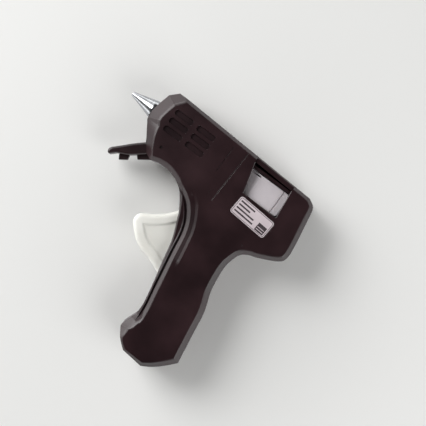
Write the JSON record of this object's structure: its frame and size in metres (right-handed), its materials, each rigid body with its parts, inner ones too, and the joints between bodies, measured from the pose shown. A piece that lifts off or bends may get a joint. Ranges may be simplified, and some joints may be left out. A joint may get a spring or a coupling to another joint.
{
  "type": "hot glue applicator",
  "caption": "Small trigger-fed hot glue gun with a conical metal nozzle, stand prong, viewing window over the glue stick carriage and a curved grip.",
  "frame": {"origin": "centre of the base of the bounding box; the gun lies on its right side", "axes": "+Z out of the left side of the gun, +Y from the butt of the grip up to the barrel, -X forward along the barrel towards the nozzle"},
  "size_m": [0.1202, 0.13, 0.028],
  "materials": {
    "shell_black": "satin moulded plastic",
    "trigger_white": "satin moulded plastic",
    "carriage_white": "satin moulded plastic",
    "nozzle_metal": "turned, bright",
    "cast_metal": "die cast, dull",
    "steel": "plain",
    "brass": "plain",
    "phenolic": "moulded thermoset",
    "silicone": "moulded silicone",
    "film": "polyimide film",
    "ceramic": "fired ceramic",
    "label_silver": "printed silver film",
    "lead_sleeve": "varnished glass braid",
    "cap_white": "moulded nylon"
  },
  "bodies": {
    "housing": {"housing_left": "shell_black", "housing_right": "shell_black", "nozzle": "nozzle_metal", "valve_ball": "steel", "valve_seat": "brass", "valve_spring": "steel", "melt_chamber": "cast_metal", "front_collar": "phenolic", "rear_collar": "phenolic", "insulation_sleeve": "film", "heater_pill": "ceramic", "electrode_upper": "brass", "electrode_lower": "brass", "feed_sleeve": "silicone", "sleeve_clip": "steel", "trigger_pin": "steel", "lever_pin": "steel", "return_spring": "steel", "label": "label_silver", "heater_lead_1": "lead_sleeve", "heater_lead_2": "lead_sleeve", "splice_cap_1": "cap_white", "splice_cap_2": "cap_white", "screw_nose": "steel", "screw_arch": "steel", "screw_rear": "steel", "screw_grip": "steel", "screw_butt": "steel"},
    "trigger_group": {"trigger": "trigger_white", "link_pin": "steel"},
    "lever_group": {"feed_lever": "carriage_white", "drive_pin": "steel"},
    "carriage_group": {"carriage": "carriage_white", "clamp_pin": "steel"},
    "clamp_group": {"stick_clamp": "steel"}
  },
  "joints": [
    {"name": "trigger_squeeze", "type": "hinge", "parent": "housing", "child": "trigger_group", "pos_m": [0.01311, -0.01872, 0.014], "axis": [0, 0, -1], "range_deg": [0, 16], "stiffness_Nm_per_rad": 0.6, "deforming": ["return_spring"]},
    {"name": "lever_rock", "type": "hinge", "parent": "housing", "child": "lever_group", "pos_m": [0.01195, 0.02561, 0.014], "axis": [0, 0, 1], "range_deg": [0, 42.17]},
    {"name": "carriage_slide", "type": "slide", "parent": "housing", "child": "carriage_group", "axis": [-1, 0, 0], "range_m": [0, 0.00936]},
    {"name": "clamp_tilt", "type": "hinge", "parent": "carriage_group", "child": "clamp_group", "pos_m": [0.01521, 0.04368, 0.014], "axis": [0, 0, -1], "range_deg": [0, 10.01]}
  ],
  "couplings": [
    {"joint": "lever_rock", "follows": "trigger_squeeze", "ratio": 2.6348},
    {"joint": "carriage_slide", "follows": "trigger_squeeze", "m_per_rad": 0.033485},
    {"joint": "clamp_tilt", "follows": "trigger_squeeze", "ratio": 0.625}
  ]
}
